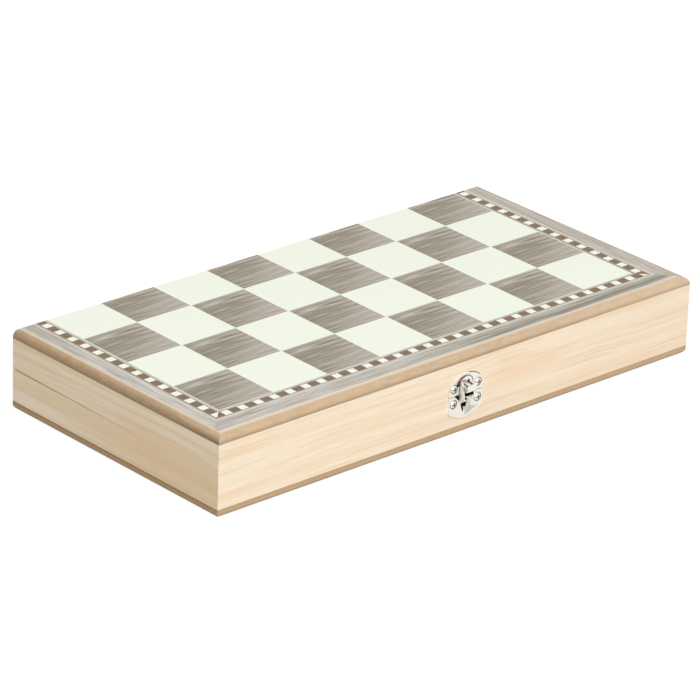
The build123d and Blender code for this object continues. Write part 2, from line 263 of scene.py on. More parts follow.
def painted_shade_behind_latch(g, tone, x, y, z):
    """Painted shade on the wood behind the latch: near black in the routed hollow, brown in the upper
    plate's window, and a thin painted shadow line past the plate's top right edge.
    """
    side, rise, _ = place_on_latch(g, x, y, z)
    wide = g.math("POWER", g.div(g.math("ABSOLUTE", side), 7.5), 3.0)
    tall = g.math("POWER", g.div(g.math("ABSOLUTE", g.add(rise, 0.7)), 12.0), 3.0)
    behind = g.sub(y, g.mul(g.ramp(rise, -0.2, -0.4), HOLLOW_DEPTH))
    on_face = g.ramp(behind, FRONT_Y + 0.0005, FRONT_Y + 0.0002)
    inside = g.mul(g.ramp(g.add(wide, tall), 1.0, 0.9), on_face)
    # painted shade: near black low in the hollow, brown higher up, paler towards the window's right
    shade_tone = g.mix(g.ramp(rise, 5.2, 8.5), srgb(14, 8, 4), srgb(156, 122, 86))
    shade_tone = g.mix(g.mul(g.ramp(side, -1.5, 3.0), g.ramp(rise, 6.0, 8.0)), shade_tone, srgb(196, 184, 164))
    tone = g.mix(inside, tone, shade_tone)
    ring_x = g.div(side, HALF_PLATE)
    ring_z = g.div(g.sub(rise, KEEPER_SHOULDER), KEEPER_TOP - KEEPER_SHOULDER)
    radius = g.math("SQRT", g.add(g.mul(ring_x, ring_x), g.mul(ring_z, ring_z)))
    # painted shadow: a thin dark brown line on the wood just outside the upper plate's top right edge
    upper_right = g.mul(g.ramp(side, 0.5, 3.5), g.ramp(rise, 6.5, 8.5))
    ring = g.mul(g.within(radius, 0.97, 1.045, 0.012), upper_right)
    return g.mix(g.mul(ring, on_face), tone, srgb(92, 64, 40))


def fibreboard(name):
    """Sanded and sealed fibreboard, browner where its ends were cut, with painted shade and painted
    highlights on its ends and edges.
    """
    g = Graph(name)
    x, y, z = g.object_axes()
    where = g.vector(x, y, z)
    fine = g.noise(where, 1300.0, 3.0, 0.7)
    broad = g.noise(g.vector(g.mul(x, 160.0), g.mul(y, 160.0), g.mul(z, 700.0)), 1.0, 3.0)
    tone = g.mix(g.ramp(broad, 0.3, 0.7), srgb(193, 168, 137), srgb(201, 177, 147))
    # distances from the end of the box, the seam, the panel's outer face and its inner face
    from_end = g.sub(LENGTH / 2, g.math("ABSOLUTE", x))
    from_seam = g.math("ABSOLUTE", g.sub(z, SEAM_Z))
    from_face = g.sub(SEAM_Z - PRINT_THICKNESS, from_seam)
    from_rail = g.sub(from_seam, SEAM_Z - PRINT_THICKNESS - PANEL_THICKNESS)
    beyond_mitre = g.ramp(g.sub(g.sub(y, FRONT_Y), from_end), -0.0003, 0.0003)
    near_end = g.mul(g.ramp(from_end, 0.0046, 0.0030), beyond_mitre)
    end = g.mul(near_end, g.ramp(from_face, 0.0004, 0.0022, 0.45, 1.0))
    scorched = g.mix(g.ramp(broad, 0.3, 0.7), srgb(162, 136, 104), srgb(176, 149, 116))
    tone = g.mix(end, tone, scorched)
    tone = g.mix(g.mul(g.ramp(from_rail, 0.0024, 0.0004), 0.5), tone, srgb(150, 122, 92))
    tone = g.mix(g.mul(g.ramp(fine, 0.45, 0.75), 0.35), tone, srgb(160, 130, 96))
    tone = g.mix(g.mul(g.ramp(x, 0.03, 0.16), 0.30), tone, srgb(222, 198, 170))
    lower = g.ramp(z, 0.0052, 0.0048)
    tone = g.mix(g.mul(lower, 0.6), tone, srgb(198, 166, 126))
    # painted shade: the lower panel darkens towards its bottom edge, where it meets the floor
    tone = g.mix(g.mul(lower, g.ramp(z, 0.0019, 0.0008, 0.0, 0.6)), tone, srgb(118, 94, 68))
    on_left = g.mul(end, g.math("LESS_THAN", x, 0.0))
    dark_line = g.mul(g.mul(lower, on_left), g.ramp(from_rail, 0.0014, 0.0004, 0.0, 0.5))
    tone = g.mix(dark_line, tone, srgb(112, 86, 58))
    # painted shade and painted highlight on the left end near the front corner: the lower half darker, the
    # half next to the outer face paler
    near_corner = g.mul(g.mul(g.inverse(lower), on_left), g.ramp(y, FRONT_Y + 0.045, FRONT_Y + 0.010))
    painted_shade_half = g.mul(near_corner, g.ramp(from_face, 0.0022, 0.0040, 0.0, 0.45))
    tone = g.mix(painted_shade_half, tone, srgb(124, 98, 64))
    painted_highlight_half = g.mul(near_corner, g.ramp(from_face, 0.0024, 0.0008, 0.0, 0.4))
    tone = g.mix(painted_highlight_half, tone, srgb(232, 206, 176))
    # painted highlight along the edge next to the print, stronger towards the left and grey at the right
    # end
    at_right_end = g.math("GREATER_THAN", x, LENGTH / 2 - PANEL_THICKNESS)
    edge_highlight = g.mix(at_right_end, srgb(230, 214, 192), srgb(192, 186, 175))
    arris = g.mul(g.ramp(from_face, 0.0003, 0.00003), g.ramp(x, -0.05, 0.12, 0.7, 0.4))
    tone = g.mix(arris, tone, edge_highlight)
    return g.surface(tone, 0.62, g.bump(fine, 0.08, 0.0002), Specular_IOR_Level=0.2)


def nickel(name, tint, roughness, metallic=1.0, painted_light=None):
    """Bright plated steel with faint polishing marks.

    Painted light is a function that gives the mask of a painted shade or reflection at a place on the
    latch, and its colour.
    """
    g = Graph(name)
    x, y, z = g.object_axes()
    marks = g.noise(g.vector(g.mul(x, 900.0), g.mul(y, 900.0), g.mul(z, 3500.0)), 1.0, 2.0)
    cloud = g.noise(g.vector(x, y, z), 300.0, 2.0)
    rough = g.ramp(cloud, 0.3, 0.7, roughness * 0.8, roughness * 1.25)
    low = tuple(channel * 0.93 for channel in tint)
    tone = g.mix(g.ramp(marks, 0.3, 0.7), low, tint)
    if painted_light:
        mask, colour = painted_light
        tone = g.mix(mask(g, *place_on_latch(g, x, y, z)), tone, colour)
    return g.surface(tone, rough, g.bump(cloud, 0.05, 0.0002), Metallic=metallic)


def hood_painted_reflection(g, side, rise, depth):
    """Painted reflection of the brown wood on the left flank of the hood, from the opening to its ridge.
    """
    return g.mul(g.ramp(side, 1.2, 0.3), 0.85)


def cover_painted_shade(g, side, rise, depth):
    """Painted shade on the rounded lower left corner of the hasp."""
    near_x, near_z = g.div(g.add(side, 4.6), 3.2), g.div(g.sub(rise, 3.0), 3.4)
    return g.mul(g.ramp(g.add(g.mul(near_x, near_x), g.mul(near_z, near_z)), 1.1, 0.15), 0.9)


def cheek_painted_shade(g, side, rise, depth):
    """Painted shade on the inner side of the hasp's right cheek, in the shade of the cover."""
    return g.mul(g.ramp(g.sub(rise, g.mul(depth, 0.6)), -2.9, -2.5), g.within(side, 2.4, 2.68, 0.05))


def painted_shade_steel(name, dark, light):
    """Steel darkened by painted shade, for the inner sides, hollows, slots and recesses of the pressed
    pieces; display colours.
    """
    g = Graph(name)
    x, y, z = g.object_axes()
    cloud = g.noise(g.vector(x, y, z), 900.0, 3.0)
    tone = g.mix(g.ramp(cloud, 0.3, 0.7), srgb(*dark), srgb(*light))
    return g.surface(tone, 0.7, Specular_IOR_Level=0.1)


# ---- printed sheets -----------------------------------------------------------------------------
# Places on the chess sheet are in millimetres from its own corner square, as it is printed.
SQUARE_X = 37.13            # one square along the box
SQUARE_Y = 37.72            # one square from front to back
FIRST_COLUMN = 21.45        # left edge of the first square, from the box's end, at the back
COLUMN_DRIFT = -0.0088      # the sheet lies slightly turned
FIRST_ROW = -5.03           # back edge of the first square, from the back of the box
ROW_DRIFT = 0.0059
COLUMNS, ROWS = 8, 4
BLOCK_SIZE = 4.7            # light blocks of the band
FRONT_PITCH, FRONT_START = 10.71, 1.92
LEFT_PITCH, LEFT_START = 10.88, 1.75
RIGHT_PITCH, RIGHT_START = 10.79, 8.76
DOT_PERIOD = 1.27
# lines of the border, from and to, counted outwards from the squares
RIM_START, RIM_END = -0.9, -0.5
INNER_LINE = (0.1, 1.4)
BAND = (1.4, 6.7)
BLOCKS = (1.7, 6.35)
OUTER_LINE = (6.7, 7.8)
PALE_LINE = (7.8, 8.9)
CORNER_LINE = (11.9, 12.1)

CREAM = srgb(246, 250, 233)
BAND_CREAM = srgb(250, 250, 232)
LINE_LIGHT = srgb(219, 213, 205)
LINE_DARK = srgb(172, 160, 146)


def printed_wood(g, run, cross, seed, dark, middle, light, spread=0.12):
    """Printed wood: run and cross are in millimetres along and across the grain."""
    bend = g.noise(g.vector(g.mul(run, 0.05), g.mul(cross, 0.10), seed), 1.0, 2.0)
    level = g.add(cross, g.mul(g.sub(bend, 0.5), 1.2))
    broad = g.noise(g.vector(g.mul(run, 0.03), g.mul(level, 0.20), seed + 1), 1.0, 2.0, 0.5)
    streak = g.noise(g.vector(g.mul(run, 0.02), g.mul(level, 0.55), seed + 2), 1.0, 2.0, 0.6)
    fine = g.noise(g.vector(g.mul(run, 0.05), g.mul(level, 1.2), seed + 3), 1.0, 1.0, 0.5)
    value = g.add(g.add(g.mul(broad, 0.22), g.mul(streak, 0.40)), g.mul(fine, 0.38))
    tone = g.mix(g.ramp(value, 0.5 - spread, 0.5, smooth=False), dark, middle)
    return g.mix(g.ramp(value, 0.5, 0.5 + spread, smooth=False), tone, light)


def varnish(g, tone, u, v, roughness):
    """The finish of a printed sheet: half gloss over faint mottling."""
    mottle = g.noise(g.vector(u, v, 0.0), 0.9, 3.0, 0.6)
    tone = g.scale_colour(tone, g.ramp(mottle, 0.3, 0.7, 0.985, 1.01))
    return g.surface(tone, roughness, g.bump(mottle, 0.03, 0.0001), Specular_IOR_Level=0.2)


def chess_squares(g, u, v, dark_when_odd):
    """Light squares and squares of printed wood, each with the same streaks."""
    column = g.math("FLOOR", g.div(u, SQUARE_X))
    row = g.math("FLOOR", g.div(v, SQUARE_Y))
    in_u = g.sub(u, g.mul(column, SQUARE_X))
    in_v = g.sub(v, g.mul(row, SQUARE_Y))
    parity = g.math("FLOORED_MODULO", g.add(column, row), 2.0)
    dark = parity if dark_when_odd else g.inverse(parity)
    edge_u = g.both(in_u, g.sub(SQUARE_X, in_u))
    edge_v = g.both(in_v, g.sub(SQUARE_Y, in_v))
    inside = g.ramp(g.both(edge_u, edge_v), 0.05, 0.45, smooth=False)
    square_wood = (srgb(119, 110, 89), srgb(164, 156, 139), srgb(210, 201, 189))
    wood = printed_wood(g, in_u, in_v, 4.0, *square_wood)
    shade_u, shade_v = g.div(g.sub(in_u, 5.0), 40.0), g.div(g.sub(in_v, 16.0), 11.5)
    shade = g.ramp(g.add(g.mul(shade_u, shade_u), g.mul(shade_v, shade_v)), 1.0, 0.1)
    wood = g.mix(g.mul(shade, 0.40), wood, srgb(130, 121, 99))
    wood = g.mix(g.mul(g.ramp(in_v, 5.5, 0.5), 0.40), wood, srgb(198, 191, 180))
    wood = g.mix(g.mul(g.ramp(in_u, 8.0, 1.0), 0.28), wood, srgb(132, 123, 101))
    rosy = g.ramp(g.add(g.mul(in_u, 0.9), g.mul(in_v, 0.6)), 22.0, 52.0)
    wood = g.mix(g.mul(rosy, 0.45), wood, srgb(196, 187, 177))
    return g.mix(g.mul(dark, inside), CREAM, wood)


def grey_border(g, u, v, out, on_front, on_right):
    """Grey printed wood, its grain along each side, darker towards the right."""
    pale_grey = (srgb(158, 152, 140), srgb(196, 190, 179), srgb(222, 217, 208))
    deep_grey = (srgb(132, 126, 110), srgb(172, 166, 152), srgb(205, 200, 189))
    warm_grey = (srgb(164, 154, 139), srgb(190, 181, 167), srgb(207, 199, 188))
    grey_left = printed_wood(g, v, g.add(u, 40.0), 11.0, *pale_grey)
    grey_left = g.mix(g.mul(g.ramp(v, 58.0, 20.0), 0.65), grey_left, srgb(174, 166, 154))
    grey_end = g.mix(on_right, grey_left, printed_wood(g, v, u, 13.0, *warm_grey))
    grey_front = g.mix(g.ramp(u, 60.0, 190.0), printed_wood(g, u, v, 17.0, *pale_grey),
                       printed_wood(g, u, g.mul(v, 1.3), 19.0, *deep_grey))
    seam_out = g.sub(20.0, g.mul(u, 0.024))
    knot = g.mul(g.within(g.sub(out, seam_out), -1.3, 1.3, 1.0), g.ramp(u, 90.0, 260.0))
    grey_front = g.mix(g.mul(knot, 0.75), grey_front, srgb(122, 116, 99))
    grey_front = g.mix(g.mul(g.ramp(u, 6.0, -8.0), 0.6), grey_front, srgb(176, 170, 157))
    return g.mix(on_front, grey_end, grey_front)


def chess_sheet(name, dark_when_odd):
    """Half of a chessboard with its border; the other half is on the other tray."""
    g = Graph(name)
    x, y, _ = g.object_axes()
    across = g.mul(g.add(x, LENGTH / 2), 1 / MM)
    back = g.mul(g.sub(DEPTH / 2, y), 1 / MM)
    # position from the first square's corner
    u = g.sub(g.sub(across, FIRST_COLUMN), g.mul(g.sub(back, FIRST_ROW), COLUMN_DRIFT))
    v = g.sub(g.sub(back, FIRST_ROW), g.mul(g.sub(across, FIRST_COLUMN), ROW_DRIFT))
    # border: distance outward from the squares on each side
    left = g.mul(u, -1.0)
    right = g.sub(u, COLUMNS * SQUARE_X)
    front = g.sub(v, ROWS * SQUARE_Y)
    end = g.either(left, right)
    out = g.either(end, front)
    on_front = g.math("GREATER_THAN", front, end)
    on_right = g.mul(g.inverse(on_front), g.math("GREATER_THAN", right, left))
    on_left = g.mul(g.inverse(on_front), g.inverse(on_right))
    tone = grey_border(g, u, v, out, on_front, on_right)
    left_of_corner = g.mul(on_left, g.ramp(v, 138.0, 150.0))
    right_of_corner = g.mul(on_front, g.ramp(u, 45.0, 15.0))
    near_corner = g.either(left_of_corner, right_of_corner)
    corner_line = g.mul(near_corner, g.within(out, *CORNER_LINE, 0.3))
    tone = g.mix(g.mul(corner_line, 0.7), tone, srgb(122, 116, 104))
    front_edge = g.mul(on_front, g.ramp(back, 163.7, 165.2))
    left_edge = g.mul(on_left, g.ramp(across, 5.6, 4.8))
    tone = g.mix(g.add(front_edge, left_edge), tone, srgb(226, 216, 203))
    # band of light and dark blocks
    along = g.add(g.mul(on_front, u), g.mul(g.inverse(on_front), v))

    def by_side(on_the_front, on_the_left, on_the_right):
        front_or_left = g.add(g.mul(on_front, on_the_front), g.mul(on_left, on_the_left))
        return g.add(front_or_left, g.mul(on_right, on_the_right))

    pitch = by_side(FRONT_PITCH, LEFT_PITCH, RIGHT_PITCH)
    start = by_side(FRONT_START, LEFT_START, RIGHT_START)
    step = g.math("FLOORED_MODULO", g.add(g.sub(along, start), BLOCK_SIZE / 2), pitch)
    light = g.mul(g.within(step, 0.0, BLOCK_SIZE, 0.2), g.within(out, *BLOCKS, 0.2))
    grain = g.noise(g.vector(g.mul(u, 0.7), g.mul(v, 1.6), 3.0), 1.0, 2.0)
    brown = g.mix(g.ramp(grain, 0.3, 0.7), srgb(112, 88, 64), srgb(146, 120, 92))
    band = g.mix(light, brown, BAND_CREAM)
    # dotted line and thin lines; the right side has them in the other order
    dot_step = g.math("FLOORED_MODULO", g.add(along, g.mul(out, 0.6)), DOT_PERIOD)
    dot = g.within(dot_step, 0.05, DOT_PERIOD * 0.52, 0.1)
    dots = g.mix(dot, srgb(250, 246, 240), srgb(84, 62, 56))
    faint_dots = g.mix(dot, srgb(232, 227, 220), srgb(150, 134, 126))
    tone = g.mix(g.within(out, *PALE_LINE, 0.35), tone, LINE_LIGHT)
    tone = g.mix(g.within(out, *BAND, 0.15), tone, band)
    outer_line = g.mix(on_right, g.mix(on_front, LINE_DARK, faint_dots), dots)
    tone = g.mix(g.within(out, *OUTER_LINE, 0.2), tone, outer_line)
    inner_line = g.mix(on_right, dots, LINE_DARK)
    tone = g.mix(g.within(out, *INNER_LINE, 0.15), tone, inner_line)
    squares = chess_squares(g, u, v, dark_when_odd)
    rim = g.mix(g.ramp(out, RIM_START, RIM_END), squares, srgb(232, 229, 219))
    tone = g.mix(g.ramp(out, -0.1, 0.1, smooth=False), rim, tone)
    sheen = g.noise(g.vector(u, v, 1.0), 0.05, 2.0)
    return varnish(g, tone, u, v, g.ramp(sheen, 0.3, 0.7, 0.40, 0.50))


def backgammon_sheet(name, other_colour_first):
    """Half of a backgammon board: six points at each end, along the box."""
    g = Graph(name)
    x, y, _ = g.object_axes()
    low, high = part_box("lid_inner_print")
    margin = 0.004
    points = 6
    pitch = (high[1] - low[1] - 2 * margin) / points
    reach = 0.118
    from_side = g.sub(y, low[1] + margin)
    index = g.math("FLOOR", g.div(from_side, pitch))
    offset = g.math("ABSOLUTE", g.sub(g.sub(from_side, g.mul(index, pitch)), pitch / 2))
    left = g.sub(x, low[0] + margin)
    right = g.sub(high[0] - margin, x)
    depth = g.both(left, right)
    half_here = g.mul(g.sub(1.0, g.div(depth, reach)), pitch / 2)
    point = g.ramp(g.sub(half_here, offset), -0.00012, 0.00012, smooth=False)

    def beyond_margin(distance):
        return g.ramp(distance, -0.0001, 0.0001, smooth=False)

    between_sides = g.mul(beyond_margin(from_side), beyond_margin(g.sub(high[1] - margin, y)))
    inside = g.mul(beyond_margin(depth), between_sides)
    side = g.math("GREATER_THAN", x, 0.0)
    first = 1.0 if other_colour_first else 0.0
    parity = g.math("FLOORED_MODULO", g.add(g.add(index, side), first), 2.0)
    u, v = g.mul(x, 1 / MM), g.mul(y, 1 / MM)
    grey = printed_wood(g, u, v, 23.0, srgb(132, 124, 107), srgb(167, 160, 146), srgb(201, 193, 183))
    brown = printed_wood(g, u, v, 31.0, srgb(104, 82, 64), srgb(132, 108, 88), srgb(158, 136, 116))
    fill = g.mix(parity, grey, brown)
    line = g.ramp(g.math("ABSOLUTE", g.sub(half_here, offset)), 0.0002, 0.0005, smooth=False)
    tone = g.mix(g.mul(point, inside), CREAM, g.mix(line, srgb(96, 80, 66), fill))
    border = printed_wood(g, u, v, 41.0, srgb(150, 144, 132), srgb(182, 176, 165), srgb(206, 200, 190))
    tone = g.mix(g.inverse(inside), tone, border)
    return varnish(g, tone, u, v, 0.45)


# ---- modelling helpers --------------------------------------------------------------------------
# The latch is modelled in millimetres in its own frame: x along the front, z up from the seam and
# depth (-y) out of the front. settle() then moves the mesh to its place on the box.


def deselect():
    if bpy.context.object is not None and bpy.context.object.mode != "OBJECT":
        bpy.ops.object.mode_set(mode="OBJECT")
    bpy.ops.object.select_all(action="DESELECT")


def activate(obj):
    deselect()
    obj.select_set(True)
    bpy.context.view_layer.objects.active = obj


def block(name, low, high):
    """A rectangular solid between two corners."""
    deselect()
    centre = [(a + b) / 2 for a, b in zip(low, high)]
    bpy.ops.mesh.primitive_cube_add(size=1.0, location=(0, 0, 0))
    obj = bpy.context.object
    obj.name = name
    bpy.ops.object.mode_set(mode="EDIT")
    bpy.ops.transform.resize(value=[b - a for a, b in zip(low, high)], center_override=(0, 0, 0))
    bpy.ops.transform.translate(value=centre)
    bpy.ops.object.mode_set(mode="OBJECT")
    return obj


def disc(name, centre, radii, depths, sides=96):
    """An elliptical disc whose axis points out of the front; centre and radii are in x and z."""
    deselect()
    bpy.ops.mesh.primitive_cylinder_add(vertices=sides, radius=1.0, depth=1.0, location=(0, 0, 0))
    obj = bpy.context.object
    obj.name = name
    bpy.ops.object.mode_set(mode="EDIT")
    bpy.ops.transform.rotate(value=math.pi / 2, orient_axis="X", center_override=(0, 0, 0))
    near, far = depths
    bpy.ops.transform.resize(value=(radii[0], far - near, radii[1]), center_override=(0, 0, 0))
    bpy.ops.transform.translate(value=(centre[0], -(near + far) / 2, centre[1]))
    bpy.ops.object.mode_set(mode="OBJECT")
    return obj


def cut_off(obj, point, normal):
    """Removes what lies on the normal's side of a plane and closes the cut."""
    activate(obj)
    bpy.ops.object.mode_set(mode="EDIT")
    bpy.ops.mesh.select_all(action="SELECT")
    bpy.ops.mesh.bisect(plane_co=point, plane_no=normal, use_fill=True, clear_outer=True)
    bpy.ops.object.mode_set(mode="OBJECT")
    return obj


def combine(obj, other, operation):
    """Boolean with a second solid, which is used up; its materials come with its faces."""
    activate(obj)
    modifier = obj.modifiers.new("boolean", "BOOLEAN")
    modifier.operation = operation
    modifier.object = other
    modifier.solver = "EXACT"
    modifier.material_mode = "TRANSFER"
    bpy.ops.object.modifier_apply(modifier=modifier.name)
    bpy.data.objects.remove(other, do_unlink=True)
    return obj


def shade(obj, angle=40):
    """Smooth shading across the edges that turn by less than an angle."""
    activate(obj)
    bpy.ops.object.shade_smooth_by_angle(angle=math.radians(angle))
    return obj


def soften(obj, width, segments=2, angle=35):
    """Rounds the edges sharper than an angle and shades what is round as smooth."""
    activate(obj)
    modifier = obj.modifiers.new("bevel", "BEVEL")
    modifier.width = width
    modifier.segments = segments
    modifier.limit_method = "ANGLE"
    modifier.angle_limit = math.radians(angle)
    bpy.ops.object.modifier_apply(modifier=modifier.name)
    return shade(obj)


def paint(obj, material):
    obj.data.materials.clear()
    obj.data.materials.append(material)
    return obj


def side_solid(name, outline, x_low, x_high):
    """A solid with a side outline of (depth, z) corners, as wide as x_low to x_high."""
    deselect()
    bpy.ops.mesh.primitive_circle_add(vertices=len(outline), fill_type="NGON", location=(0, 0, 0))
    obj = bpy.context.object
    obj.name = name
    for vertex, (depth, z) in zip(obj.data.vertices, outline):
        vertex.co = (x_low, -depth, z)
    bpy.ops.object.mode_set(mode="EDIT")
    bpy.ops.mesh.select_all(action="SELECT")
    bpy.ops.mesh.extrude_region_move(TRANSFORM_OT_translate={"value": (x_high - x_low, 0, 0)})
    bpy.ops.mesh.select_all(action="SELECT")
    bpy.ops.mesh.normals_make_consistent(inside=False)
    bpy.ops.object.mode_set(mode="OBJECT")
    return obj


def settle(obj, body, replaced):
    """Moves a latch piece from its own frame in millimetres to its place on the box."""
    activate(obj)
    bpy.ops.object.mode_set(mode="EDIT")
    bpy.ops.mesh.select_all(action="SELECT")
    bpy.ops.transform.resize(value=(MM, MM, MM), center_override=(0, 0, 0))
    bpy.ops.transform.translate(value=(LATCH_X, FRONT_Y, SEAM_Z))
    bpy.ops.object.mode_set(mode="OBJECT")
    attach(obj, body)
    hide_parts(replaced)
    return obj


# ---- materials on the frame's pieces ------------------------------------------------------------
def dress(node, material):
    paint(NODES[node], material)


# the front rail gets painted shade in the hollow behind the latch
front_pine = pine("pine_front", "X", 2.0, (248, 231, 206), (245, 223, 194), 0.46, shade_in_latch_hollow=True)
back_pine = pine("pine_back", "X", 9.0, (247, 230, 205), (243, 221, 192), 0.40)
# the left rail gets painted shade at its foot
left_pine = pine("pine_left", "Y", 13.0, (248, 232, 205), (240, 217, 181), 0.34, shaded_foot=True)
right_pine = pine("pine_right", "Y", 21.0, (247, 231, 203), (240, 217, 181), 0.30)
rail_pine = {"front": front_pine, "back": back_pine, "left": left_pine, "right": right_pine}
for side, material in rail_pine.items():
    dress(f"base_{side}_rail", material)
    dress(f"lid_{side}_rail", material)
board = fibreboard("fibreboard")
dress("lid_panel", board)
dress("base_panel", board)
dress("lid_outer_print", chess_sheet("chess_sheet_lid", True))
dress("base_outer_print", chess_sheet("chess_sheet_base", False))
dress("lid_inner_print", backgammon_sheet("backgammon_sheet_lid", True))
dress("base_inner_print", backgammon_sheet("backgammon_sheet_base", False))
latch_metal = nickel("bright_nickel", srgb(232, 228, 221), 0.20, 0.65)
# the hood, cover and cheek carry painted reflection and painted shade from their masks
hood_metal = nickel("hood_nickel", srgb(234, 231, 225), 0.22, 0.80, (hood_painted_reflection, srgb(196, 188, 168)))
cover_metal = nickel("cover_nickel", srgb(233, 230, 221), 0.20, 0.80, (cover_painted_shade, srgb(146, 139, 114)))
cheek_metal = nickel("cheek_nickel", srgb(240, 236, 228), 0.35, 0.45, (cheek_painted_shade, srgb(24, 20, 16)))
hinge_metal = nickel("satin_nickel", srgb(214, 211, 205), 0.28)
# painted shade: near black in the hollows and slits, brown in the hasp's right slot, grey brown in the
# screws' rings and crosses
painted_shade_metal = painted_shade_steel("painted_shade_steel", (26, 22, 18), (48, 41, 33))
slot_shade_metal = painted_shade_steel("slot_shade_steel", (66, 56, 40), (100, 88, 68))
recess_shade_metal = painted_shade_steel("recess_shade_steel", (100, 92, 74), (136, 127, 108))
for node in ("latch_keeper", "latch_plate", "latch_hasp", "hasp_pivot_pin", "keeper_screws",
             "latch_plate_screws"):
    dress(node, latch_metal)
for node in NODES:
    if "hinge" in node:
        dress(node, hinge_metal)

# ---- rails of the lid ---------------------------------------------------------------------------
# The front and end rails lie on the lower tray at the front, and the seam opens towards the back.
BASE_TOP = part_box("base_front_rail")[1][2]
SEAM_REAR = 0.0011          # how far the seam stands open at the back
CLOSED_DEPTH = 0.060        # the part of the end, from the front, where it doesn't open


def lid_rail(side):
    """A mitred rail; its rim is flat at the front and rises a little towards the back."""
    low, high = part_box(f"lid_{side}_rail")
    rail = block(f"rail_{side}", (low[0], low[1], BASE_TOP), high)
    if side == "front":
        for end in (-1, 1):
            cut_off(rail, (end * LENGTH / 2, low[1], 0), (end, 1, 0))
    else:
        way = -1 if side == "left" else 1
        for end in (-1, 1):
            cut_off(rail, (way * LENGTH / 2, end * DEPTH / 2, 0), (-way, end, 0))
        slope = SEAM_REAR / (DEPTH - CLOSED_DEPTH)
        cut_off(rail, (0, low[1] + CLOSED_DEPTH, BASE_TOP), (0, slope, -1))
    paint(rail, rail_pine[side])
    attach(rail, "lid")
    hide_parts(f"lid_{side}_rail")


for side in ("front", "left", "right"):
    lid_rail(side)

# ---- lower panel --------------------------------------------------------------------------------
# Its lower edges are rounded, and the right one furthest.
LOWER_ROUND = 0.0027        # how far the rounding reaches in from the edge
LOWER_ROUND_RIGHT = 0.0063
ROUND_FLATTEN = 1.35        # it reaches up less than it reaches in
panel_low, panel_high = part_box("base_panel")
panel = block("panel_base", panel_low, panel_high)
weights = panel.data.attributes.new("bevel_weight_edge", "FLOAT", "EDGE")
for edge in panel.data.edges:
    ends = [panel.data.vertices[index].co for index in edge.vertices]
    if all(end.z < panel_low[2] + MM for end in ends):
        at_right = all(end.x > panel_high[0] - MM for end in ends)
        weights.data[edge.index].value = 1.0 if at_right else LOWER_ROUND / LOWER_ROUND_RIGHT
rounding = panel.modifiers.new("rounding", "BEVEL")
rounding.limit_method = "WEIGHT"
rounding.width = LOWER_ROUND_RIGHT
rounding.segments = 6
activate(panel)


def stretch_panel(factor):
    """Stretches the panel downwards; with the rounding in between, its arcs become elliptical."""
    bpy.ops.object.mode_set(mode="EDIT")
    bpy.ops.mesh.select_all(action="SELECT")
    bpy.ops.transform.resize(value=(1, 1, factor), center_override=(0, 0, panel_high[2]))
    bpy.ops.object.mode_set(mode="OBJECT")


stretch_panel(ROUND_FLATTEN)
bpy.ops.object.modifier_apply(modifier="rounding")
stretch_panel(1 / ROUND_FLATTEN)
paint(shade(panel, 35), board)
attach(panel, "base")
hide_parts("base_panel")

# ---- latch --------------------------------------------------------------------------------------
def screw_seats(plate, side):
    """Shallow ring in the plate round each screw's head, with painted shade on its walls and floor."""
    for x in (-SCREW_X, SCREW_X):
        depths = (SHEET - SEAT_DEPTH, SHEET + THROUGH)
        seat = disc("seat", (x, side * SCREW_Z), (SEAT_RADIUS, SEAT_RADIUS), depths)
        combine(plate, paint(seat, recess_shade_metal), "DIFFERENCE")


def arch(name, half, bottom, shoulder, top, depths):
    """Solid with straight sides and an elliptical head."""
    near, far = depths
    head = disc(name, (0, shoulder), (half, top - shoulder), depths)
    cut_off(head, (0, 0, shoulder), (0, 0, -1))
    stem = block("stem", (-half, -far, bottom), (half, -near, shoulder))
    return combine(head, stem, "UNION")


# upper plate: an arch with a window, a bridge and the lug
keeper = arch("keeper", HALF_PLATE, HALF_SEAM, KEEPER_SHOULDER, KEEPER_TOP, (0, SHEET))
paint(keeper, latch_metal)
window = disc("window", (WINDOW_X, WINDOW_Z), WINDOW_RADII, (-THROUGH, SHEET + THROUGH))
cut_off(window, (0, 0, WINDOW_SHOULDER), (0, 0, -1))
slot_low = (-WINDOW_HALF, -SHEET - THROUGH, -THROUGH)
slot_high = (WINDOW_HALF, THROUGH, WINDOW_SHOULDER)
combine(window, block("slot", slot_low, slot_high), "UNION")
combine(keeper, paint(window, latch_metal), "DIFFERENCE")
soften(keeper, PLATE_ROUND, 3)
screw_seats(keeper, 1)
# the bridge across the window is near black: painted shade behind the plate
combine(keeper, paint(block("bridge", (-5.5, -0.5, 3.6), (5.5, -0.05, 5.8)), painted_shade_metal), "UNION")
lug_side = [(0.1, 5.95), (0.1, 6.7), (1.4, 6.5), (3.9, 6.1), (4.3, 5.8), (4.25, 5.5), (1.2, 5.95)]
lug = soften(side_solid("lug", lug_side, LUG_LEFT, LUG_RIGHT), 0.12)
combine(keeper, paint(lug, latch_metal), "UNION")
settle(keeper, "lid", "latch_keeper")

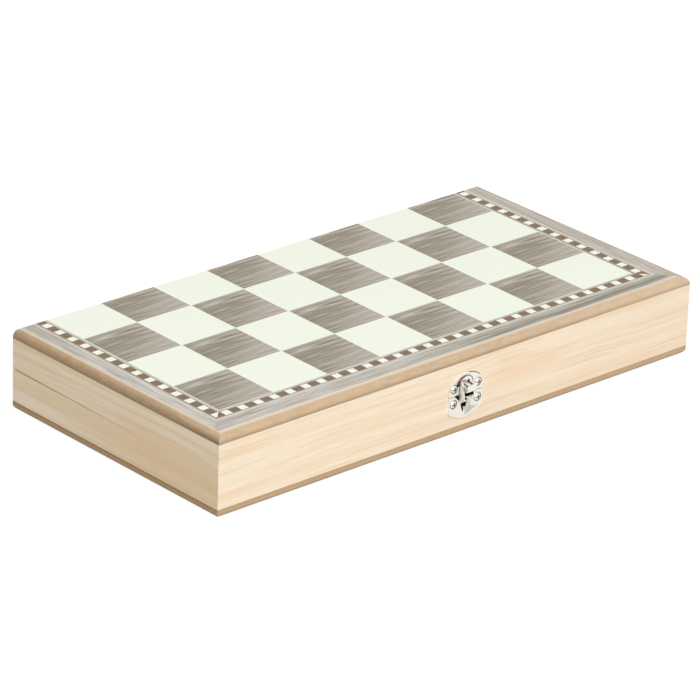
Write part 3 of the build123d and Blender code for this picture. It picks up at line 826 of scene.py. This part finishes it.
# lower plate: an arched foot, a window at the seam, a pointed opening and the hood over it
plate = disc("plate", (0, PLATE_ARC_Z), (PLATE_ARC, PLATE_ARC), (0, SHEET), 256)
cut_off(plate, (0, 0, PLATE_FOOT), (0, 0, 1))
for side in (-1, 1):
    cut_off(plate, (side * HALF_PLATE, 0, 0), (side, 0, 0))
stem = block("stem", (-HALF_PLATE, -SHEET, PLATE_FOOT - 0.02), (HALF_PLATE, 0, -HALF_SEAM))
combine(plate, stem, "UNION")
opening = block("opening", (-8.0, -SHEET - THROUGH, -5.3), (6.9, THROUGH, THROUGH))
cut_off(opening, (-7.9, 0, -HALF_SEAM), (-5.05, 0, -2.7))
cut_off(opening, (6.8, 0, -HALF_SEAM), (5.05, 0, -1.9))
combine(plate, opening, "DIFFERENCE")
arc = (POINT_ARC, POINT_ARC)
point = disc("point", (POINT_ARC_X, POINT_TOP), arc, (-THROUGH, SHEET + THROUGH), 128)
other = disc("other", (-POINT_ARC_X, POINT_TOP), arc, (-THROUGH - 0.5, SHEET + THROUGH + 0.5), 128)
combine(point, other, "INTERSECT")
cut_off(point, (0, 0, POINT_TOP), (0, 0, 1))
cut_off(point, (0.4, 0, 0), (1, 0, 0))
combine(plate, point, "DIFFERENCE")
paint(plate, latch_metal)
soften(plate, PLATE_ROUND, 3)
screw_seats(plate, -1)


def hood_cone(name, tip, mouth, z):
    """A flattened cone with its tip down; tip and mouth are the radii of its ends."""
    deselect()
    bpy.ops.mesh.primitive_cone_add(vertices=96, radius1=tip, radius2=mouth, depth=HOOD_LENGTH,
                                    location=(0, 0, 0))
    obj = bpy.context.object
    obj.name = name
    bpy.ops.object.mode_set(mode="EDIT")
    bpy.ops.transform.resize(value=(1, HOOD_FLATTEN, 1), center_override=(0, 0, 0))
    bpy.ops.transform.translate(value=(0, -HOOD_DEPTH, z))
    bpy.ops.object.mode_set(mode="OBJECT")
    return obj


hood = paint(hood_cone("hood", 0.6, 3.4, -6.55), hood_metal)
# the hood's hollow and slit are lined with near black painted shade
combine(hood, paint(hood_cone("hollow", 0.2, 2.95, -6.45), painted_shade_metal), "DIFFERENCE")
slit = block("slit", (-5, -4.5, -7.2), (-0.9, 1, 1))
cut_off(slit, (-2.4, 0, -0.75), (6.45, 0, 1.5))
combine(hood, paint(slit, painted_shade_metal), "DIFFERENCE")
cut_off(hood, (0, -0.1, 0), (0, 1, 0))
combine(plate, shade(hood), "UNION")
settle(plate, "base", "latch_plate")


def round_corner(solid, centre, radii, outer_x):
    """Rounds a lower corner of the hasp's cover; centre and radii are in x and z."""
    low = (min(centre[0], outer_x), -7, HASP_FOOT)
    high = (max(centre[0], outer_x), 2, centre[1])
    corner = combine(block("corner", low, high), disc("foot", centre, radii, (-2, 7)), "DIFFERENCE")
    combine(solid, corner, "DIFFERENCE")


# hasp: a folded cover with a shelf for the lug, and two cheeks down to the pivot
cover = arch("hasp", HASP_HALF, HASP_FOOT + 0.1, HASP_SHOULDER, HASP_TOP, (-1, 6))
cover_side = [
    (0.5, 1.6), (3.95, 1.6), (4.25, 2.4), (4.4, 3.8), (4.36, 5.3), (4.2, 5.75), (3.95, 5.95), (1.25, 6.3),
    (1.05, 6.5), (1.05, 9.95), (0.5, 9.95),
]
combine(cover, side_solid("cover_side", cover_side, -6, 6), "INTERSECT")
round_corner(cover, (-1.9, 4.1), (2.6, 2.5), -HASP_HALF - 0.1)
round_corner(cover, (3.1, 3.0), (1.4, 1.4), HASP_HALF + 0.1)
paint(shade(cover), cover_metal)
hollow_side = [(-1, 0), (3.4, 0), (3.75, 3.6), (3.6, 5.2), (0.3, 5.5), (-1, 5.5)]
hollow = side_solid("hollow", hollow_side, HASP_WALL - HASP_HALF, HASP_HALF - HASP_WALL)
# the cover's hollow, the lug's seat and the left slot are lined with near black painted shade, the right
# slot with brown painted shade
combine(cover, paint(hollow, painted_shade_metal), "DIFFERENCE")
seat_side = [(0.0, 5.88), (0.0, 6.85), (1.3, 6.8), (4.2, 6.6), (4.6, 5.9), (4.45, 5.42), (1.2, 5.88)]
seat = side_solid("seat", seat_side, LUG_LEFT - 0.07, LUG_RIGHT + 0.08)
combine(cover, paint(seat, painted_shade_metal), "DIFFERENCE")
left_slot = block("slot", (-3.0, -4.7, 5.0), (-2.1, -1.2, 7.2))
combine(cover, paint(left_slot, painted_shade_metal), "DIFFERENCE")
right_slot = block("slot", (0.75, -4.15, 5.0), (2.15, -0.2, 7.9))
combine(cover, paint(right_slot, slot_shade_metal), "DIFFERENCE")
cheek_side = [
    (0.35, -3.6), (0.35, 5.9), (1.0, 7.4), (1.9, 7.9), (2.6, 7.2), (3.1, 5.6), (3.6, 3.2), (4.1, 0.5),
    (4.3, -1.2), (4.1, -2.1), (3.3, -3.2), (2.2, -4.2), (1.3, -4.7), (0.6, -4.4),
]
for low, high, top in ((-4.55, -3.85, 7.9), (2.6, 4.55, 5.3)):
    lowered_side = [(depth, min(z, top)) for depth, z in cheek_side]
    cheek = soften(side_solid("cheek", lowered_side, low, high), 0.1)
    combine(cover, paint(cheek, cheek_metal), "UNION")
settle(cover, "hasp", "latch_hasp")


def screw_head(name, x, z):
    """A domed head with a cross recess in painted shade."""
    deselect()
    bpy.ops.mesh.primitive_uv_sphere_add(segments=48, ring_count=32, radius=DOME_RADIUS,
                                         location=(0, 0, 0))
    head = bpy.context.object
    head.name = name
    bpy.ops.object.mode_set(mode="EDIT")
    bpy.ops.transform.translate(value=(x, DOME_RADIUS - SHEET - HEAD_RISE, z))
    bpy.ops.object.mode_set(mode="OBJECT")
    rim = disc("rim", (x, z), (HEAD_RADIUS, HEAD_RADIUS), (SHEET - SEAT_DEPTH, SHEET + 3), 64)
    paint(combine(head, rim, "INTERSECT"), latch_metal)
    for half_x, half_z in ((RECESS_LONG, RECESS_WIDE), (RECESS_WIDE, RECESS_LONG)):
        low = (x - half_x, -SHEET - 2, z - half_z)
        high = (x + half_x, -SHEET - RECESS_FLOOR, z + half_z)
        combine(head, paint(block("recess", low, high), recess_shade_metal), "DIFFERENCE")
    return shade(head)


for body, node, side in (("lid", "keeper_screws", 1), ("base", "latch_plate_screws", -1)):
    left_screw = screw_head(f"{node}_heads", -SCREW_X, side * SCREW_Z)
    right_screw = screw_head("second", SCREW_X, side * SCREW_Z)
    activate(left_screw)
    right_screw.select_set(True)
    bpy.ops.object.join()
    settle(left_screw, body, node)

# ---- floor and light ----------------------------------------------------------------------------
FLOOR_SIZE = 8.0
FLOOR_GREY = 0.30           # share of the light that the floor throws back on the box
FLOOR_GLOW = 0.86           # added where the floor is seen
FILL_LIGHT = 0.62           # light of the surroundings
WHITE = (1.0, 1.0, 1.0, 1.0)


def seen(g):
    """1 for the rays that look at the floor or the surroundings, 0 for those that gather light."""
    ray = g.node("ShaderNodeLightPath")
    mirrored = g.either(ray.outputs["Is Glossy Ray"], ray.outputs["Is Transmission Ray"])
    return g.either(ray.outputs["Is Camera Ray"], mirrored)


def floor_paint():
    g = Graph("floor_white")
    diffuse = g.node("ShaderNodeBsdfDiffuse")
    g.put(diffuse.inputs["Color"], (FLOOR_GREY, FLOOR_GREY, FLOOR_GREY, 1.0))
    glow = g.node("ShaderNodeEmission")
    g.put(glow.inputs["Color"], WHITE)
    g.put(glow.inputs["Strength"], g.mul(seen(g), FLOOR_GLOW))
    both = g.node("ShaderNodeAddShader")
    g.put(both.inputs[0], diffuse.outputs[0])
    g.put(both.inputs[1], glow.outputs[0])
    return g.finish(both.outputs[0])


def studio():
    """White surroundings that light the box less than they look."""
    g = Graph("studio", "World")
    choose = g.node("ShaderNodeMixShader")
    g.put(choose.inputs[0], seen(g))
    for socket, strength in zip(choose.inputs[1:], (FILL_LIGHT, 1.0)):
        plain = g.node("ShaderNodeBackground")
        g.put(plain.inputs["Color"], WHITE)
        g.put(plain.inputs["Strength"], strength)
        g.put(socket, plain.outputs[0])
    return g.finish(choose.outputs[0])


deselect()
bpy.ops.mesh.primitive_plane_add(size=FLOOR_SIZE, location=(0, 0, 0))
floor = bpy.context.object
floor.name = "floor"
floor.data.materials.append(floor_paint())
bpy.context.scene.world = studio()


def area_light(name, direction, distance, size, power):
    """A soft square light that looks at the box."""
    data = bpy.data.lights.new(name, "AREA")
    data.shape = "SQUARE"
    data.size = size
    data.energy = power
    lamp = bpy.data.objects.new(name, data)
    bpy.context.scene.collection.objects.link(lamp)
    way = Vector(direction).normalized()
    lamp.location = way * distance + Vector((0, 0, HEIGHT / 2))
    lamp.rotation_mode = "QUATERNION"
    lamp.rotation_quaternion = way.to_track_quat("Z", "Y")


area_light("key", direction=(-0.22, -0.56, 0.37), distance=3.6, size=3.4, power=108.0)

# ---- camera -------------------------------------------------------------------------------------
CAMERA_AZIMUTH = -42.391    # degrees
CAMERA_ELEVATION = 24.001
CAMERA_ROLL = 1.947
CAMERA_DISTANCE = 2.43190
CAMERA_TARGET = (-0.04570, -0.04485, HEIGHT)
FOCAL_PIXELS = 4600.0
PICTURE_PIXELS = 700.0
SENSOR = 36.0

azimuth, elevation = math.radians(CAMERA_AZIMUTH), math.radians(CAMERA_ELEVATION)
backward = Vector((
    math.sin(azimuth) * math.cos(elevation),
    -math.cos(azimuth) * math.cos(elevation),
    math.sin(elevation),
))
right = (-backward).cross(Vector((0, 0, 1))).normalized()
up = right.cross(-backward)
roll = math.radians(CAMERA_ROLL)
picture_right = math.cos(roll) * right + math.sin(roll) * up
picture_up = -math.sin(roll) * right + math.cos(roll) * up
data = bpy.data.cameras.new("camera")
data.sensor_width = SENSOR
data.lens = FOCAL_PIXELS / PICTURE_PIXELS * SENSOR
data.clip_start, data.clip_end = 0.05, 50.0
camera = bpy.data.objects.new("camera", data)
bpy.context.scene.collection.objects.link(camera)
camera.rotation_mode = "QUATERNION"
camera.rotation_quaternion = Matrix((picture_right, picture_up, backward)).transposed().to_quaternion()
camera.location = Vector(CAMERA_TARGET) + backward * CAMERA_DISTANCE
bpy.context.scene.camera = camera
bpy.context.scene.view_settings.view_transform = "Standard"
